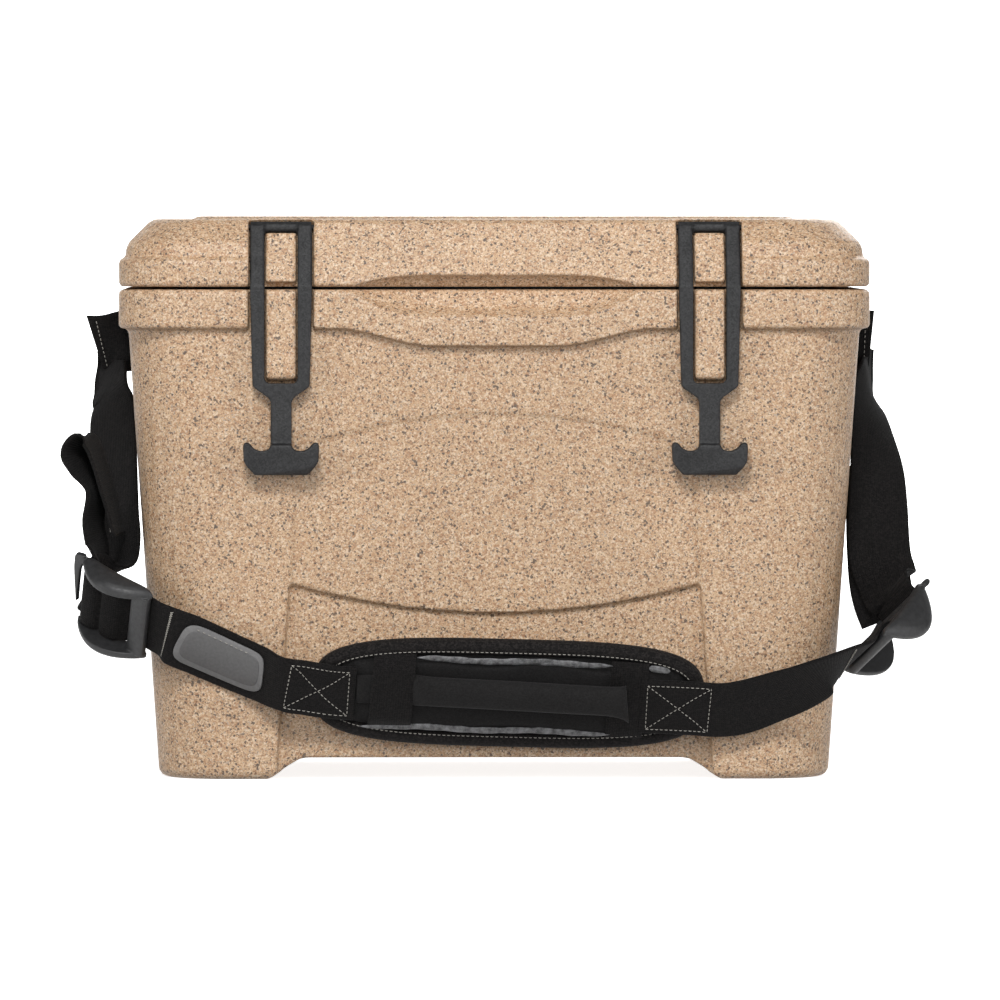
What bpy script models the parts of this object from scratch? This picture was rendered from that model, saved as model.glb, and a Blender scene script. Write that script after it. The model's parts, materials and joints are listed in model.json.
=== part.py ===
"""Rotomoulded cooler chest: insulated tub, hinged lid, two rubber T-handle latches
and a padded webbing shoulder strap. Metres, +Z up, the front faces -Y."""

import math

import bmesh
import bpy
import numpy as np
from mathutils import Matrix, Vector

MM = 0.001
GAP = 0.3

# Driving dimensions, in millimetres
BODY_HALF_X = 204.2          # tub half length at the floor
BODY_SLOPE = 0.0669          # outward lean of every wall, mm per mm of height
DEPTH_LESS = 93.0            # the half depth is the half length less this
CORNER_R = 40.0
RIM_HALF_X = 228.2
RIM_LOW = 274.0
RIM_TOP = 297.6
LID_LOW = 299.2
LID_TOP = 340.0
FOOT_H = 13.0                # height of the arches between the feet
ARC_TOP = 223.0              # highest point of the lens panel on the front
LENS_DEPTH = 1.2
LOW_PANEL_DEPTH = 6.0
RIM_HALF_Y = RIM_HALF_X - DEPTH_LESS

CAVITY_TOP = (172.0, 90.0)   # half sizes of the food compartment at its mouth
CAVITY_LOW = (160.0, 78.0)
CAVITY_FLOOR = 48.0

LATCH_X = 129.5
LATCH_HALF = 18.8
LUG_HALF = 9.1
CHANNEL_HALF = LATCH_HALF + 0.8
SLOPE_FOOT = (-RIM_HALF_Y, 302.0)      # where the lid's sloped front face starts (y, z)
SLOPE_HEAD = (-RIM_HALF_Y + 17.5, 338.0)
PIVOT = (-114.5, 335.0)                # latch pivot axis (y, z)
BARREL_R = 3.6
PIVOT_PIN_R = 1.8

HINGE = (138.0, 298.4)                 # lid hinge axis (y, z)
KNUCKLE_R = 6.0
HINGE_PIN_R = 2.0
HINGE_X = 120.0

WEB = 38.0                             # webbing width
WEB_T = 2.2
STRAP_PIN_R = 3.0
STRAP_PIN_X = 214.0
STRAP_PIN_HALF = 29.0
ANCHOR_Z = 265.0             # height of the middle of the strap where it is pinned

COLOURS = {
    "sand": ((0.56, 0.40, 0.25), 0.55, 0.0),
    "rubber": ((0.035, 0.035, 0.038), 0.5, 0.0),
    "webbing": ((0.012, 0.011, 0.011), 0.85, 0.0),
    "buckle": ((0.03, 0.03, 0.03), 0.4, 0.0),
    "label": ((0.2, 0.2, 0.2), 0.6, 0.0),
    "pad": ((0.015, 0.014, 0.014), 0.9, 0.0),
    "foam": ((0.8, 0.74, 0.5), 0.9, 0.0),
    "seal": ((0.05, 0.05, 0.05), 0.6, 0.0),
    "steel": ((0.55, 0.56, 0.57), 0.3, 1.0),
}


def clear_scene():
    for obj in list(bpy.data.objects):
        bpy.data.objects.remove(obj, do_unlink=True)


def material(key):
    found = bpy.data.materials.get(key)
    if found:
        return found
    colour, roughness, metallic = COLOURS[key]
    mat = bpy.data.materials.new(key)
    mat.use_nodes = True
    shader = mat.node_tree.nodes["Principled BSDF"]
    shader.inputs["Base Color"].default_value = (*colour, 1.0)
    shader.inputs["Roughness"].default_value = roughness
    shader.inputs["Metallic"].default_value = metallic
    return mat


# ---------------------------------------------------------------- mesh helpers

def add_object(name, verts, faces, key=None, origin=(0, 0, 0), smooth=None):
    """Make an object from vertices in millimetres, with its origin at origin."""
    shift = Vector(origin)
    mesh = bpy.data.meshes.new(name)
    mesh.from_pydata([(Vector(v) - shift) * MM for v in verts], [], faces)
    bm = bmesh.new()
    bm.from_mesh(mesh)
    bmesh.ops.recalc_face_normals(bm, faces=bm.faces)
    bm.to_mesh(mesh)
    bm.free()
    obj = bpy.data.objects.new(name, mesh)
    obj.location = shift * MM
    bpy.context.scene.collection.objects.link(obj)
    if key:
        mesh.materials.append(material(key))
    if smooth:
        mesh.shade_smooth()
        mesh.set_sharp_from_angle(angle=math.radians(smooth))
    return obj


def loft(name, rings, key=None, **more):
    """Closed solid through rings of points that all have the same count."""
    count = len(rings[0])
    verts = [p for ring in rings for p in ring]
    faces = [list(range(count))[::-1]]
    for r in range(len(rings) - 1):
        low, high = r * count, (r + 1) * count
        for i in range(count):
            j = (i + 1) % count
            faces.append([low + i, low + j, high + j, high + i])
    faces.append(list(range((len(rings) - 1) * count, len(rings) * count)))
    return add_object(name, verts, faces, key, **more)


def rounded_rect(half_x, half_y, radius, z, steps=6):
    points = []
    corners = [(1, 1, 0), (-1, 1, 90), (-1, -1, 180), (1, -1, 270)]
    for sx, sy, start in corners:
        cx, cy = sx * (half_x - radius), sy * (half_y - radius)
        for i in range(steps + 1):
            a = math.radians(start + 90 * i / steps)
            points.append((cx + radius * math.cos(a), cy + radius * math.sin(a), z))
    return points


def box(name, low, high, key=None, **more):
    (x0, y0, z0), (x1, y1, z1) = low, high
    rings = [[(x0, y0, z), (x1, y0, z), (x1, y1, z), (x0, y1, z)] for z in (z0, z1)]
    return loft(name, rings, key, **more)


def side_prism(name, outline, x0, x1, key=None, **more):
    """Extrude an outline of (y, z) points along X."""
    rings = [[(x, y, z) for y, z in outline] for x in (x0, x1)]
    return loft(name, rings, key, **more)


def front_prism(name, outline, front, back, key=None, **more):
    """Extrude an outline of (x, z) points along Y; front and back are functions of z."""
    rings = [[(x, front(z), z) for x, z in outline], [(x, back(z), z) for x, z in outline]]
    return loft(name, rings, key, **more)


def rod(name, axis, centre, radius, low, high, key=None, steps=16, **more):
    """Cylinder along axis X or Z; centre gives the two other coordinates."""
    rings = []
    for end in (low, high):
        ring = []
        for i in range(steps):
            a = 2 * math.pi * (i + 0.5) / steps
            u, v = centre[0] + radius * math.cos(a), centre[1] + radius * math.sin(a)
            ring.append((end, u, v) if axis == "X" else (u, v, end))
        rings.append(ring)
    return loft(name, rings, key, **more)


def combine(target, tool, operation):
    """Add a Boolean with a hidden tool object."""
    tool.hide_render = True
    tool.display_type = "WIRE"
    mod = target.modifiers.new(tool.name, "BOOLEAN")
    mod.operation = operation
    mod.solver = "EXACT"
    mod.object = tool


def cut(target, tool):
    combine(target, tool, "DIFFERENCE")


def join(target, tool):
    combine(target, tool, "UNION")


def parabola(x0, x1, z_end, z_mid, count):
    """Points of a shallow arc from (x0, z_end) over (middle, z_mid) to (x1, z_end)."""
    points = []
    for i in range(count + 1):
        t = i / count
        points.append((x0 + (x1 - x0) * t, z_end + (z_mid - z_end) * 4 * t * (1 - t)))
    return points


def smooth_step(t):
    t = min(max(t, 0.0), 1.0)
    return t * t * (3 - 2 * t)


def body_half_x(z):
    return BODY_HALF_X + BODY_SLOPE * z


def body_front(z):
    return -(body_half_x(z) - DEPTH_LESS)


def section(z, inset=0.0, steps=6, radius=CORNER_R):
    """Rounded outline of the tub's outside at height z, moved in by inset."""
    half = body_half_x(z) - inset
    return rounded_rect(half, half - DEPTH_LESS, radius - inset * 0.5, z, steps)


def rim_section(half, z, steps=6):
    return rounded_rect(half, half - DEPTH_LESS, 36.0, z, steps)


def slope_point(s, n):
    """Point (y, z) at distance s up the lid's sloped front face and n outside it."""
    foot, head = Vector(SLOPE_FOOT), Vector(SLOPE_HEAD)
    along = (head - foot).normalized()
    out = Vector((-along.y, along.x))
    return tuple(foot + along * s + out * n)


# ---------------------------------------------------------------- tub

def tub_outside():
    rings = [section(0, 5.0), section(1.2, 1.8), section(4.5)]
    rings += [section(RIM_LOW - 1.0)]
    rings += [rim_section(RIM_HALF_X - 0.8, RIM_LOW), rim_section(RIM_HALF_X, RIM_LOW + 2.0)]
    rings += [rim_section(RIM_HALF_X, RIM_TOP - 2.4), rim_section(RIM_HALF_X - 0.9, RIM_TOP - 0.7)]
    rings += [rim_section(RIM_HALF_X - 2.6, RIM_TOP)]
    return loft("tub_shell", rings, "sand", smooth=35)


def compartment(name, grow, top):
    low_x, low_y = CAVITY_LOW
    top_x, top_y = CAVITY_TOP
    rings = [
        rounded_rect(low_x + grow - 6, low_y + grow - 6, 24 + grow, CAVITY_FLOOR - grow, 4),
        rounded_rect(low_x + grow, low_y + grow, 26 + grow, CAVITY_FLOOR - grow + 8, 4),
        rounded_rect(top_x + grow, top_y + grow, 30 + grow, top, 4),
    ]
    return loft(name, rings)


def foam_space(name, shrink):
    """The space between the tub's outer skin and its liner."""
    low, high = 19.0 + shrink, 291.0 - shrink
    rings = []
    for z in (low, high):
        half = body_half_x(z) - 22 - shrink
        rings.append(rounded_rect(half, half - DEPTH_LESS + 10, 26, z, 4))
    space = loft(name, rings)
    liner = compartment(name + "_liner", 5.0 + shrink, 296.0)
    cut(space, liner)
    return space


def foot_arches(tub):
    profile = [(14, 0.5 * FOOT_H), (17, 3.8), (21.5, 1.2), (26, -2.0)]
    half = 100.0 + 14
    across = [(-half - dx, z) for dx, z in reversed(profile)] + [(-half - 9, 9.6), (-half - 4.5, 12.2)]
    across += [(-half, FOOT_H), (half, FOOT_H), (half + 4.5, 12.2), (half + 9, 9.6)]
    across += [(half + dx, z) for dx, z in profile]
    cut(tub, front_prism("arch_front", across, lambda z: -160.0, lambda z: 160.0))
    side = [(x * 0.46, z) for x, z in across]
    cut(tub, side_prism("arch_side", side, -240.0, 240.0))


def lens_floor(z):
    """The lens panel's floor, a little deeper towards its lower arc."""
    return body_front(z) + LENS_DEPTH + (ARC_TOP - z) * 0.01


def front_relief(tub):
    """The shallow lens panel and the deeper lower panel moulded in the front."""
    lower_arc = parabola(-124.5, 124.5, 119.0, 101.5, 14)
    upper_arc = parabola(106.0, -106.0, 207.0, ARC_TOP, 14)
    lens = lower_arc + [(121.5, 180.0)] + upper_arc + [(-121.5, 180.0)]
    cut(tub, front_prism("lens_panel", lens, lambda z: -150.0, lens_floor))
    low = [(-132.5, -3.0), (132.5, -3.0), (132.0, FOOT_H)] + lower_arc[::-1] + [(-132.0, FOOT_H)]
    cut(tub, front_prism("low_panel", low, lambda z: -149.0, lambda z: body_front(z) + LOW_PANEL_DEPTH))


def rim_dip(tub):
    """The rim's front edge, which hangs lower under the finger scoop."""
    outline = [(-104.0, 288.0), (-104.0, RIM_LOW + 0.4)]
    for i in range(19):
        x = -100.0 + 200.0 * i / 18
        outline.append((x, RIM_LOW + 0.3 - 11.0 * smooth_step((100.0 - abs(x)) / 64.0)))
    outline += [(104.0, RIM_LOW + 0.4), (104.0, 288.0)]
    join(tub, front_prism("rim_dip", outline, lambda z: -RIM_HALF_Y + 0.05, lambda z: -118.0))


def scoop(name, half, edge, seam, depth, count=18):
    """Finger scoop with rounded ends: edge is its far edge's height and seam its height at
    the seam."""
    end_run = half * 0.5
    rings = []
    for i in range(count + 1):
        x = -half * math.cos(math.pi * i / count)
        near_end = min((half - abs(x)) / end_run, 1.0)
        rise = max(math.sin(math.pi / 2 * near_end) ** 0.85, 0.03)
        far = seam + (edge - seam) * rise
        back = -RIM_HALF_Y + depth * rise
        over = seam + (6.0 if edge < seam else -6.0)
        ring = [(-142.0, over), (-142.0, far), (-RIM_HALF_Y, far)]
        ring.append((-RIM_HALF_Y + (back + RIM_HALF_Y) * 0.55, far + (seam - far) * 0.30))
        ring += [(back, seam), (back, over)]
        rings.append([(x, y, z) for y, z in ring])
    return loft(name, rings)


def keeper_lugs(tub):
    """Channels in the rim with the lugs that the latches hook under."""
    for side in (-1, 1):
        x = side * LATCH_X
        cut(tub, box(f"rim_channel_{side}", (x - CHANNEL_HALF, -150, 255), (x + CHANNEL_HALF, -129.3, 305)))
        outline = [(-120, 242.0), (-132, 242.6), (-135.2, 243.6), (-136.4, 246.0), (-136.4, 296.2)]
        outline += [(-135.2, 297.6), (-120, 297.6)]
        rings = []
        for dx in (-LUG_HALF, -LUG_HALF + 1.0, LUG_HALF - 1.0, LUG_HALF):
            inner = abs(dx) > LUG_HALF - 0.5
            rings.append([(x + dx, y + (0.9 if inner and y < -130 else 0), z) for y, z in outline])
        join(tub, loft(f"keeper_lug_{side}", rings))


def strap_pockets(tub):
    for side in (-1, 1):
        near, far = sorted((side * 204.0, side * 240.0))
        cut(tub, box(f"strap_pocket_{side}", (near, -12, ANCHOR_Z - 24), (far, 12, ANCHOR_Z + 22)))
        hole = (side * STRAP_PIN_X, 0.0)
        low, high = ANCHOR_Z - STRAP_PIN_HALF - GAP, ANCHOR_Z + STRAP_PIN_HALF + GAP
        cut(tub, rod(f"strap_pin_hole_{side}", "Z", hole, STRAP_PIN_R + GAP, low, high, steps=12))


def hinge_x_ranges(side):
    """x ranges of one hinge's tub knuckles and of its lid knuckle."""
    x = side * HINGE_X
    return [(x - 36, x - 14.5), (x + 14.5, x + 36)], [(x - 14, x + 14)]


def add_knuckles(body, label, ranges, block):
    for i, (x0, x1) in enumerate(ranges):
        knuckle = rod(f"{label}_knuckle_{i}", "X", HINGE, KNUCKLE_R, x0, x1, steps=20)
        join(body, knuckle)
        join(body, side_prism(f"{label}_web_{i}", block, x0 + 0.01, x1 - 0.01))


def make_tub():
    tub = tub_outside()
    rim_dip(tub)
    foot_arches(tub)
    front_relief(tub)
    cut(tub, compartment("food_space", 0.0, 305.0))
    cut(tub, scoop("rim_scoop", 89.0, 281.0, RIM_TOP + 0.5, 15.0))
    keeper_lugs(tub)
    strap_pockets(tub)
    for side in (-1, 1):
        tub_ranges, lid_ranges = hinge_x_ranges(side)
        for x0, x1 in lid_ranges:
            room = rod(f"lid_knuckle_room_{side}", "X", HINGE, KNUCKLE_R + 0.8, x0 - 0.5, x1 + 0.5, steps=20)
            cut(tub, room)
        block = [
            (128, 284), (HINGE[0] + 2, 291), (HINGE[0] + 4.5, HINGE[1] - 2),
            (HINGE[0], HINGE[1] - 0.9), (128, 296),
        ]
        add_knuckles(tub, f"tub_{side}", tub_ranges, block)
        x = side * HINGE_X
        cut(tub, rod(f"tub_hinge_hole_{side}", "X", HINGE, HINGE_PIN_R + GAP, x - 40, x + 40))
    cut(tub, foam_space("tub_foam_space", 0.0))
    cut(tub, rod("tub_fill_hole", "Z", (0, 0), 9.0, 5.0, 22.0, steps=20))
    foam = foam_space("tub_foam_core", GAP)
    foam.data.materials.append(material("foam"))
    rod("tub_fill_plug", "Z", (0, 0), 8.6, FOOT_H + 0.3, 18.6, "sand", steps=20, smooth=35)
    for side, word in ((-1, "left"), (1, "right")):
        centre = (side * STRAP_PIN_X, 0.0)
        low, high = ANCHOR_Z - STRAP_PIN_HALF, ANCHOR_Z + STRAP_PIN_HALF
        rod(f"strap_pin_{word}", "Z", centre, STRAP_PIN_R, low, high, "steel", steps=12,
            smooth=40, origin=(side * STRAP_PIN_X, 0, ANCHOR_Z))


# ---------------------------------------------------------------- lid

def lid_outside():
    half = RIM_HALF_X
    profile = [(1.6, LID_LOW), (0.1, 300.8), (0.0, 313.2), (0.7, 315.4), (2.2, 316.4), (3.9, 317.3)]
    profile += [(4.4, 322.5), (6.4, 326.6), (17.8, 338.0), (21.4, LID_TOP)]
    rings = [rim_section(half - inset, z) for inset, z in profile]
    return loft("lid_shell", rings, "sand", smooth=35)


def lid_channel(x, lid, side):
    floor = 7.4
    centre = Vector(PIVOT)
    top_s = 43.2
    outline = [(-150, 297), (-129.3, 297), slope_point(-1.0, -floor), slope_point(38.7, -floor)]
    outline += [slope_point(top_s, -4.0), slope_point(top_s, 24.0), (-150, 345)]
    cut(lid, side_prism(f"lid_channel_{side}", outline, x - CHANNEL_HALF, x + CHANNEL_HALF))
    ends = (x - CHANNEL_HALF, x + CHANNEL_HALF)
    pocket = rod(f"barrel_room_{side}", "X", centre, BARREL_R + 0.9, *ends, steps=20)
    cut(lid, pocket)
    lug = [(-134.9, 303.2), (-133.9, 302.0), (-124.0, 302.0), slope_point(33.0, -9.5)]
    lug += [slope_point(34.1, -2.0), slope_point(33.0, -0.4)]
    rings = []
    for dx in (-LUG_HALF, -LUG_HALF + 1.0, LUG_HALF - 1.0, LUG_HALF):
        edge = abs(dx) > LUG_HALF - 0.5
        ease = [0.8 if edge and k in (0, 1, 4, 5) else 0.0 for k in range(len(lug))]
        rings.append([(x + dx, y + more, z) for more, (y, z) in zip(ease, lug)])
    join(lid, loft(f"lid_lug_{side}", rings))
    cut(lid, rod(f"pivot_hole_{side}", "X", centre, PIVOT_PIN_R + GAP, x - 23.4, x + 23.4, steps=12))


def make_lid():
    lid = lid_outside()
    raised = [rounded_rect(183, 92, 22, 336, 5), rounded_rect(183, 92, 22, 340.6, 5)]
    raised.append(rounded_rect(180.5, 89.5, 20, 341.8, 5))
    join(lid, loft("lid_raised_panel", raised))
    middle = LATCH_X - CHANNEL_HALF + 0.5
    slope = [SLOPE_FOOT, slope_point(52, 0), (-150, 350), (-150, SLOPE_FOOT[1])]
    cut(lid, side_prism("lid_front_slope", slope, -middle, middle))
    plug = [rounded_rect(CAVITY_TOP[0] - 5.5, CAVITY_TOP[1] - 5.5, 26, 290, 4)]
    plug += [rounded_rect(CAVITY_TOP[0] - 3.5, CAVITY_TOP[1] - 3.5, 28, 292, 4)]
    plug += [rounded_rect(CAVITY_TOP[0] - 3, CAVITY_TOP[1] - 3, 28, 301, 4)]
    join(lid, loft("lid_plug", plug))
    cut(lid, scoop("lid_scoop", 89.0, 307.4, LID_LOW - 0.5, 13.0))
    for side in (-1, 1):
        lid_channel(side * LATCH_X, lid, side)
        tub_ranges, lid_ranges = hinge_x_ranges(side)
        for i, (x0, x1) in enumerate(tub_ranges):
            ends = (x0 - 0.5, x1 + 0.5)
            room = rod(f"tub_knuckle_room_{side}_{i}", "X", HINGE, KNUCKLE_R + 0.8, *ends, steps=20)
            cut(lid, room)
        block = [
            (128, 300.8), (HINGE[0], HINGE[1] + 0.9), (HINGE[0] + 4.5, HINGE[1] + 2),
            (HINGE[0] + 2, 305.5), (128, 312),
        ]
        add_knuckles(lid, f"lid_{side}", lid_ranges, block)
        x = side * HINGE_X
        cut(lid, rod(f"lid_hinge_hole_{side}", "X", HINGE, HINGE_PIN_R + GAP, x - 40, x + 40))
    groove(lid, "gasket_groove", 0.3, 301.6)
    cut(lid, lid_foam("lid_foam_space", 0.0))
    cut(lid, rod("lid_fill_hole", "Z", (0, 0), 9.0, 280.0, 308.0, steps=20))
    foam = lid_foam("lid_foam_core", GAP)
    foam.data.materials.append(material("foam"))
    rod("lid_fill_plug", "Z", (0, 0), 8.6, 290.4, 303.6, "sand", steps=20, smooth=35)
    gasket = groove(None, "lid_gasket", 0.0, 301.2)
    gasket.data.materials.append(material("seal"))
    make_hinge_pins()


def lid_foam(name, shrink):
    rings = [
        rounded_rect(196 - shrink, 100 - shrink, 20, 305.5 + shrink, 4),
        rounded_rect(196 - shrink, 100 - shrink, 20, 318 - shrink, 4),
        rounded_rect(186 - shrink, 92 - shrink, 20, 333 - shrink, 4),
    ]
    return loft(name, rings)


def groove(lid, name, grow, top):
    """Rectangular ring round the food compartment's mouth, cut or kept as the seal."""
    low = 296.0 if lid else RIM_TOP + 0.35
    outer_x, outer_y = CAVITY_TOP[0] + 16 + grow, CAVITY_TOP[1] + 16 + grow
    ring = loft(name, [rounded_rect(outer_x, outer_y, 40, z, 5) for z in (low, top)])
    inner = loft(name + "_inside", [
        rounded_rect(outer_x - 6 - 2 * grow, outer_y - 6 - 2 * grow, 34 - grow, z, 5)
        for z in (low - 2, top + 2)
    ])
    cut(ring, inner)
    if lid:
        cut(lid, ring)
    return ring


def make_hinge_pins():
    for side, word in ((-1, "left"), (1, "right")):
        x = side * HINGE_X
        rod(f"hinge_pin_{word}", "X", HINGE, HINGE_PIN_R, x - 37.5, x + 37.5, "steel", steps=12,
            smooth=40, origin=(x, *HINGE))


# ---------------------------------------------------------------- latches

def latch_strand(name, x, side):
    """One of the two arms beside the lugs; it narrows towards its lower end."""
    profile = [(-136.8, 239.0), (-136.8, 299.6), slope_point(38.7, 0.4), slope_point(38.7, -6.8)]
    profile += [(-129.8, 297.6), (-129.8, 239.0)]
    inner = [(x + side * 9.9, y, z) for y, z in profile]
    outer = []
    for y, z in profile:
        reach = LATCH_HALF - 1.5 * min(max((300.0 - z) / 60.0, 0.0), 1.0)
        outer.append((x + side * reach, y, z))
    return loft(name, [inner, outer])


def t_handle_outline():
    half = [(6.35, 204.0), (7.0, 201.6), (9.5, 200.2), (13.0, 200.0), (16.5, 201.6), (19.0, 204.6)]
    half += [(20.6, 205.4), (22.4, 204.8), (23.0, 203.0), (22.6, 194.0), (20.6, 190.5), (16.0, 185.5)]
    return half + [(-x, z) for x, z in reversed(half)]


def handle_front(z):
    """The T handle's face, set back along its lower lip."""
    return -141.5 if z > 190.0 else -137.0


def make_latch(word, side):
    x = side * LATCH_X
    pivot = (x, *PIVOT)
    web = [(-17.3, 250.0), (-17.3, 239.5), (-15.5, 237.6), (-8.0, 232.4), (-6.35, 230.0), (-6.35, 202.0)]
    web = web + [(-a, b) for a, b in reversed(web)]
    window = [(9.9, 250.0), (9.9, 243.0), (8.2, 240.9), (-8.2, 240.9), (-9.9, 243.0), (-9.9, 250.0)]
    outline = [(x + a, b) for a, b in web + window]
    latch = front_prism(f"latch_{word}", outline, lambda z: -136.8, lambda z: -129.8, "rubber",
                        origin=pivot, smooth=30)
    for hand in (-1, 1):
        join(latch, latch_strand(f"strand_{word}_{hand}", x, hand))
    ends = (x - LATCH_HALF + 0.01, x + LATCH_HALF - 0.01)
    join(latch, rod(f"latch_barrel_{word}", "X", PIVOT, BARREL_R, *ends, steps=20))
    handle = [(x + a, b) for a, b in t_handle_outline()]
    join(latch, front_prism(f"latch_handle_{word}", handle, handle_front, lambda z: -129.2))
    cut(latch, rod(f"latch_bore_{word}", "X", PIVOT, PIVOT_PIN_R + GAP, x - 25, x + 25, steps=12))
    rod(f"latch_pin_{word}", "X", PIVOT, PIVOT_PIN_R, x - 23, x + 23, "steel", steps=12,
        smooth=40, origin=pivot)


# ---------------------------------------------------------------- shoulder strap

def spline(points, samples):
    """Smooth curve through points of any dimension, spread evenly over its length."""
    pts = np.array(points, float)
    ext = np.vstack([2 * pts[0] - pts[1], pts, 2 * pts[-1] - pts[-2]])
    dense = []
    for i in range(1, len(ext) - 2):
        p0, p1, p2, p3 = ext[i - 1:i + 3]
        for t in np.linspace(0, 1, 24, endpoint=False):
            dense.append(0.5 * (2 * p1 + (p2 - p0) * t + (2 * p0 - 5 * p1 + 4 * p2 - p3) * t * t
                                + (3 * p1 - p0 - 3 * p2 + p3) * t ** 3))
    dense.append(pts[-1])
    dense = np.array(dense)
    steps = np.linalg.norm(np.diff(dense[:, :3], axis=0), axis=1)
    run = np.concatenate([[0], np.cumsum(steps)])
    at = np.linspace(0, run[-1], samples)
    return np.array([[np.interp(a, run, dense[:, k]) for k in range(dense.shape[1])] for a in at])


def ribbon_rows(route, samples):
    """Centre, direction across and outward normal at even steps along a route."""
    line = spline(route, samples)
    rows = []
    for i, row in enumerate(line):
        ahead = Vector(line[min(i + 1, samples - 1)][:3]) - Vector(line[max(i - 1, 0)][:3])
        ahead.normalize()
        across = Vector(row[3:])
        across = (across - ahead * across.dot(ahead)).normalized()
        rows.append((Vector(row[:3]), across, ahead.cross(across)))
    return rows


def tape(name, rows, key, width=WEB, thick=WEB_T, lift=0.0):
    """Flat strip along rows, raised off them by lift."""
    rings = []
    for here, across, up in rows:
        here = here + up * lift
        a, b = across * width / 2, up * thick / 2
        rings.append([here - a - b, here + a - b, here + a + b, here - a + b])
    return loft(name, rings, key)


def ribbon(name, route, samples):
    """Webbing along route, a list of (x, y, z, across x, across y, across z)."""
    return tape(name, ribbon_rows(route, samples), "webbing")


class Place:
    """A local frame: u along the strap, v across it, w out of its face."""

    def __init__(self, origin, along, across):
        self.o = Vector(origin)
        self.u = Vector(along).normalized()
        across = Vector(across)
        self.v = (across - self.u * across.dot(self.u)).normalized()
        self.w = self.u.cross(self.v)

    def at(self, u, v, w):
        return tuple(self.o + self.u * u + self.v * v + self.w * w)

    def move(self, obj):
        basis = Matrix((self.u, self.v, self.w)).transposed().to_4x4()
        obj.matrix_world = Matrix.Translation(self.o * MM) @ basis


BUCKLE_LEFT = Place((-230, -114, 103.7), (0.78, -0.47, -0.41), (0.0, -0.5, 0.866))
BUCKLE_RIGHT = Place((236.6, -110, 90.6), (0.455, 0.715, 0.532), (0.48, -0.70, 0.53))
PAD = Place((8, -131, 53.5), (1.0, 0.0, -0.026), (0.0, -0.5, 0.866))
PAD_HALF = (117.5, 39.0)
PAD_T = 10.0
PAD_POWER = 2 / 3.4          # below 1 squares the pad's rounded outline
GUARD_INSIDE, GUARD_OUTSIDE = 20.4, 25.4
GUARD_RISE = 17.0            # how far a buckle's guards stand out at their middle


def guard_outline(end):
    """Crescent side guard of a buckle as (u, w) points; end is the side its thick bar is on."""
    back = [(28.0, -3.2), (10.0, -2.6), (-12.0, -3.4), (-28.0, -4.0)]
    front = []
    for i in range(11):
        t = i / 10
        front.append((-28.0 + 56.0 * t, -1.5 + GUARD_RISE * math.sin(math.pi * t) ** 0.85))
    return [(end * u, w) for u, w in front + back]


def make_buckle(name, place, end):
    """Ladder lock: a frame with three bars between two crescent side guards."""
    u0, u1 = sorted((end * -20.8, end * 23.0))
    frame = box(name, (u0, -25, -2.2), (u1, 25, 2.2), "buckle", smooth=30)
    windows = []
    for i, spans in enumerate([(-15.4, -4.0), (2.0, 13.0)]):
        u0, u1 = sorted(end * u for u in spans)
        windows.append(box(f"{name}_window_{i}", (u0, -20.3, -8), (u1, 20.3, 8)))
    u0, u1 = sorted((end * 13.4, end * 22.9))
    added = [box(f"{name}_thick_bar", (u0, -20.6, 0.0), (u1, 20.6, 4.2))]
    for hand in (-1, 1):
        v0, v1 = sorted((hand * GUARD_INSIDE, hand * GUARD_OUTSIDE))
        guard = [[(u, v, w) for u, w in guard_outline(end)] for v in (v0, v1)]
        added.append(loft(f"{name}_guard_{hand}", guard))
    for window in windows:
        cut(frame, window)
    for piece in added:
        join(frame, piece)
    for obj in [frame] + windows + added:
        place.move(obj)


def local_route(place, path, end):
    """Route through a buckle from (u, w) points, with its width along the frame's v."""
    return [(*place.at(end * u, 0, w), *place.v) for u, w in path]


def anchor_loop(word, side, reach, lean):
    """Folded webbing round the upright strap pin; its outer end leans over sideways."""
    turn = STRAP_PIN_R + 0.5 + WEB_T / 2
    tip = (lean, math.sqrt(1 - lean * lean))
    plan = [(reach, 1.6, *tip), (reach - 9, 1.6, *tip), (224, 1.9, 0, 1), (219, 3.6, 0, 1)]
    for a in (50, 90, 130, 180, 230, 270, 310):
        x = STRAP_PIN_X + turn * math.cos(math.radians(a))
        plan.append((x, turn * math.sin(math.radians(a)), 0, 1))
    plan += [(219, -3.6, 0, 1), (224, -1.9, 0, 1), (reach - 9, -1.6, *tip), (reach, -1.6, *tip)]
    ribbon(f"strap_anchor_{word}", [(side * x, y, ANCHOR_Z, 0, b, c) for x, y, b, c in plan], 40)


LEFT_SIDE = [
    (-237.2, -3, 244, 0.2, -0.98, 0), (-235.4, -8, 234, 0.49, -0.87, 0),
    (-234.4, -12, 226, 0.62, -0.78, 0), (-233.7, -20, 213, 0.67, -0.74, 0),
    (-232.1, -37, 187, 0.67, -0.74, 0), (-230.7, -52, 160, 0.67, -0.74, 0),
    (-229.6, -62, 141, 0.67, -0.74, 0), (-232.2, -71, 127, 0.64, -0.76, 0.08),
    (-241, -82, 119.5, 0.4, -0.69, 0.6),
]
LEFT_TAIL = [
    (-241.6, -87.8, 141, -0.3, -0.95, 0), (-243.2, -88, 149, -0.3, -0.95, 0),
    (-243.8, -88, 158, -0.3, -0.95, 0), (-238.6, -88.5, 176, -0.36, -0.93, 0),
    (-247.5, -89.5, 189.5, -0.42, -0.91, 0), (-251.5, -89.5, 196, -0.42, -0.91, 0),
    (-250, -89.5, 203, -0.42, -0.91, 0), (-245.4, -89.5, 207, -0.42, -0.91, 0),
    (-238.6, -89.5, 202, -0.4, -0.92, 0), (-235, -89.5, 192, -0.34, -0.94, 0),
    (-233.8, -88.5, 178, -0.28, -0.96, 0), (-233.2, -88, 165, -0.25, -0.97, 0),
    (-231.2, -88, 151.5, -0.25, -0.97, 0),
]
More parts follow.
